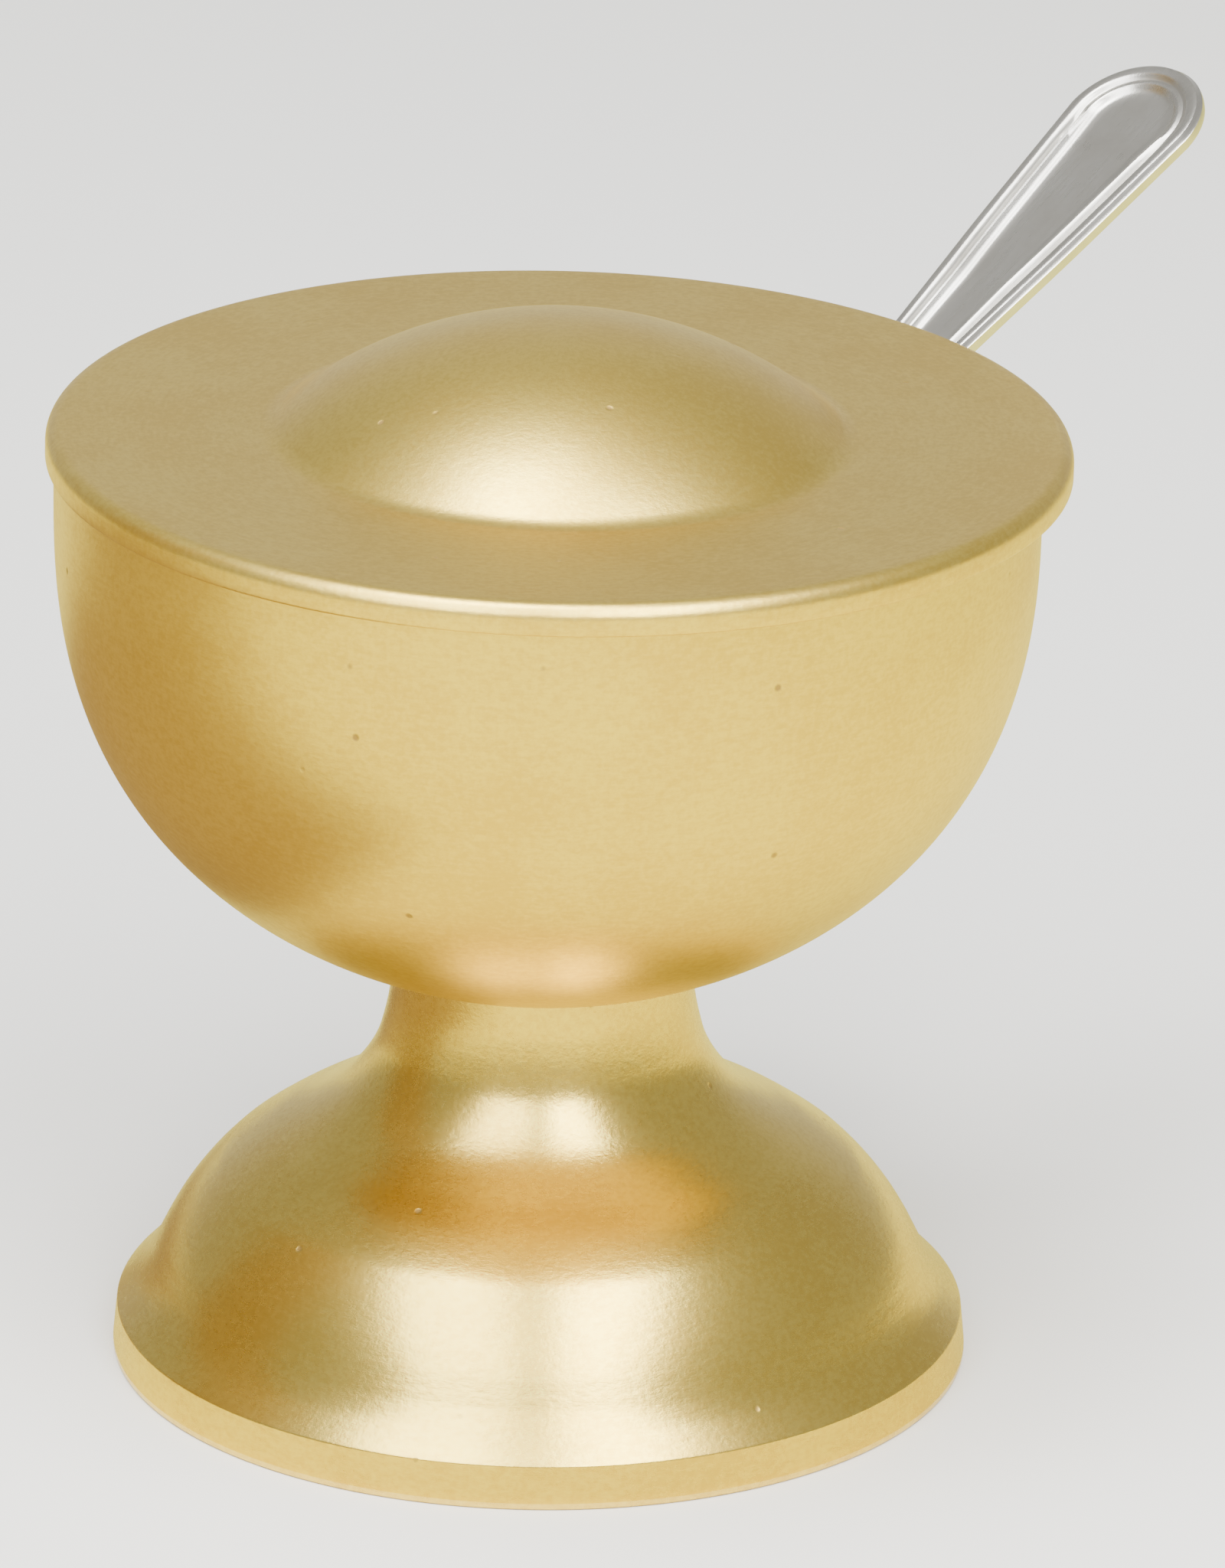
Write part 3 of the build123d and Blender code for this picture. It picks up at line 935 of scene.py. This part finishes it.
def make_floor(stage):
    """A pale matt floor that curves up behind."""
    section = [(-2.4, 0), (1.2, 0), *arc((1.2, 0.9), 0.9, -90, 0, 16), (2.1, 3.0)]
    rows = [[(across, y, z) for y, z in section] for across in (-2.2, 2.2)]
    mesh = bpy.data.meshes.new("floor")
    across = len(rows[0])
    faces = [(j, across + j, across + j + 1, j + 1) for j in range(across - 1)]
    mesh.from_pydata([p for row in rows for p in row], [], faces)
    floor = new_object("floor", mesh)
    for face in mesh.polygons:
        face.use_smooth = True

    def build(graph):
        place = graph.node("ShaderNodeTexCoord")[3]
        grain = noise(graph, place, 30, 4.0, 0.6)
        darker = (*[c * 0.985 for c in stage.floor], 1)
        tone = graph.mix(grain * 0.5, (*stage.floor, 1), darker)
        return {"Base Color": tone, "Roughness": 0.6, "Specular IOR Level": 0.2}

    mesh.materials.append(metal("floor", build))


def make_camera(stage):
    """The camera, in front of the vessel and a little above it."""
    lens = bpy.data.cameras.new("camera")
    lens.sensor_fit, lens.sensor_width, lens.lens = "AUTO", 36, stage.lens
    lens.shift_x, lens.shift_y = stage.shift_x, stage.shift_y
    lens.clip_start, lens.clip_end = 0.05, 20
    made = bpy.data.objects.new("camera", lens)
    bpy.context.scene.collection.objects.link(made)
    flat = math.cos(stage.elevation) * stage.distance
    made.location = (0, -flat, stage.target + math.sin(stage.elevation) * stage.distance)
    aim = Vector((0, 0, stage.target)) - made.location
    lean = Quaternion((0, 0, 1), stage.roll)
    made.rotation_euler = (aim.to_track_quat("-Z", "Y") @ lean).to_euler()
    bpy.context.scene.camera = made


def make_lights(stage):
    """Two tall soft boxes in front, one overhead, cards that only reflections see (a painted warm
    reflection under everything, a painted shadow and a painted dark reflection at the left), and a
    sky.
    """
    soft_box("left_box", (-0.36, -0.52, 0.72), (0.54, 1.00), 15, (-0.36, 0, 0.04))
    soft_box("right_box", (0.27, -0.52, 0.72), (0.38, 1.00), 18, (0.27, 0, 0.04))
    soft_box("top_box", (-0.12, -0.07, 0.90), (0.34, 0.34), 7, (-0.12, 0, 0.04))
    # painted shade: the brown of the two cards at the left, which are seen only in reflections
    painted_shade_brown, painted_reflection_straw = (0.20, 0.145, 0.075), (0.69, 0.64, 0.19)
    # painted reflection: a straw card under everything, seen only in reflections, warms the floor that
    # the brass reflects
    card("painted_warm_reflection", (0, 0, 0.0006), (1.6, 1.6), (0, 0, 1.0), painted_reflection_straw)
    # painted shadow: a brown card on the floor at the left stands for the shade there, seen only in
    # reflections
    card("painted_shadow_left", (-0.186, 0.03, 0.001), (0.29, 0.22), (-0.186, 0.03, 1.0), painted_shade_brown)
    # painted reflection: a brown card at the left darkens the reflections on the left sides
    card("painted_dark_reflection_left", (-0.42, 0.06, 0.24), (0.24, 0.48), (0, 0.06, 0.24), painted_shade_brown)
    world = bpy.data.worlds.new("sky")
    world.use_nodes = True
    background = world.node_tree.nodes["Background"].inputs
    background["Color"].default_value = (1.0, 0.99, 0.96, 1)
    background["Strength"].default_value = stage.sky
    bpy.context.scene.world = world


# Operators: one for each piece or group of like pieces, and one for the stage.


def settle(piece, body, slot, *nodes):
    """Makes a finished piece ride on its body and stand for its nodes."""
    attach(piece, body)
    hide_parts(*nodes)


class BOAT_OT_bowl(bpy.types.Operator):
    """Makes the spun brass bowl"""

    bl_idname = "boat.bowl"
    bl_label = "Bowl"

    def execute(self, context):
        scene = context.scene
        piece = make_bowl(scene.boat_bowl, satin_brass("bowl_brass", scene.boat_finish))
        settle(piece, "vessel", "satin_brass", "bowl")
        return {"FINISHED"}


class BOAT_OT_foot(bpy.types.Operator):
    """Makes the bell foot"""

    bl_idname = "boat.foot"
    bl_label = "Foot"

    def execute(self, context):
        scene = context.scene
        brass = satin_brass("foot_brass", scene.boat_finish, roughness=0.21)
        settle(make_foot(scene.boat_foot, scene.boat_bowl, brass), "vessel", "satin_brass", "foot")
        return {"FINISHED"}


class BOAT_OT_lid(bpy.types.Operator):
    """Makes the domed lid"""

    bl_idname = "boat.lid"
    bl_label = "Lid"

    def execute(self, context):
        scene = context.scene
        place = tuple(lid_place(scene.boat_lid).translation)
        brass = satin_brass("lid_brass", scene.boat_finish, centre=place)
        settle(make_lid(scene.boat_lid, scene.boat_bowl, brass), "lid", "satin_brass", "lid")
        return {"FINISHED"}


class BOAT_OT_spoon(bpy.types.Operator):
    """Makes the pressed steel spoon"""

    bl_idname = "boat.spoon"
    bl_label = "Spoon"

    def execute(self, context):
        scene = context.scene
        piece = make_spoon(scene.boat_spoon, pressed_steel("spoon_steel", scene.boat_finish))
        settle(piece, "spoon", "stainless_steel", "spoon")
        return {"FINISHED"}


class BOAT_OT_fixings(bpy.types.Operator):
    """Makes the screw, washers and nut that hold the bowl to the foot"""

    bl_idname = "boat.fixings"
    bl_label = "Fixings"

    def execute(self, context):
        finish = context.scene.boat_finish
        brass = machined("fixing_brass", finish.fixing, finish.fixing_dirt)
        zinc = machined("zinc_steel", finish.zinc, finish.zinc_dirt, 0.34)
        settle(make_screw(brass), "vessel", "fixing_brass", "fixing_screw")
        settle(make_washer(brass), "vessel", "fixing_brass", "flat_washer")
        settle(make_nut(brass), "vessel", "fixing_brass", "hex_nut")
        settle(make_lock_washer(zinc), "vessel", "zinc_steel", "lock_washer")
        return {"FINISHED"}


class BOAT_OT_stage(bpy.types.Operator):
    """Sets out the floor, the lights and the camera"""

    bl_idname = "boat.stage"
    bl_label = "Stage"

    def execute(self, context):
        stage = context.scene.boat_stage
        make_floor(stage)
        make_lights(stage)
        make_camera(stage)
        return {"FINISHED"}


OPERATORS = (BOAT_OT_stage, BOAT_OT_bowl, BOAT_OT_foot, BOAT_OT_lid, BOAT_OT_spoon, BOAT_OT_fixings)


class BOAT_PT_panel(bpy.types.Panel):
    """Lists the boat's operators and sizes"""

    bl_idname = "BOAT_PT_panel"
    bl_label = "Incense Boat"
    bl_space_type = "VIEW_3D"
    bl_region_type = "UI"
    bl_category = "Incense Boat"

    def draw(self, context):
        for operator in OPERATORS:
            self.layout.operator(operator.bl_idname)
        for name, kind in GROUPS.items():
            group = getattr(context.scene, name)
            box = self.layout.box()
            for key in kind.__annotations__:
                box.prop(group, key)


def register():
    for kind in (*GROUPS.values(), *OPERATORS, BOAT_PT_panel):
        bpy.utils.register_class(kind)
    for name, kind in GROUPS.items():
        setattr(bpy.types.Scene, name, bpy.props.PointerProperty(type=kind))


def unregister():
    for name in GROUPS:
        delattr(bpy.types.Scene, name)
    for kind in (BOAT_PT_panel, *reversed(OPERATORS), *reversed(GROUPS.values())):
        bpy.utils.unregister_class(kind)


def main():
    """Makes every piece."""
    register()
    bpy.ops.boat.stage()
    bpy.ops.boat.bowl()
    bpy.ops.boat.foot()
    bpy.ops.boat.lid()
    bpy.ops.boat.spoon()
    bpy.ops.boat.fixings()


if __name__ == "__main__":
    main()
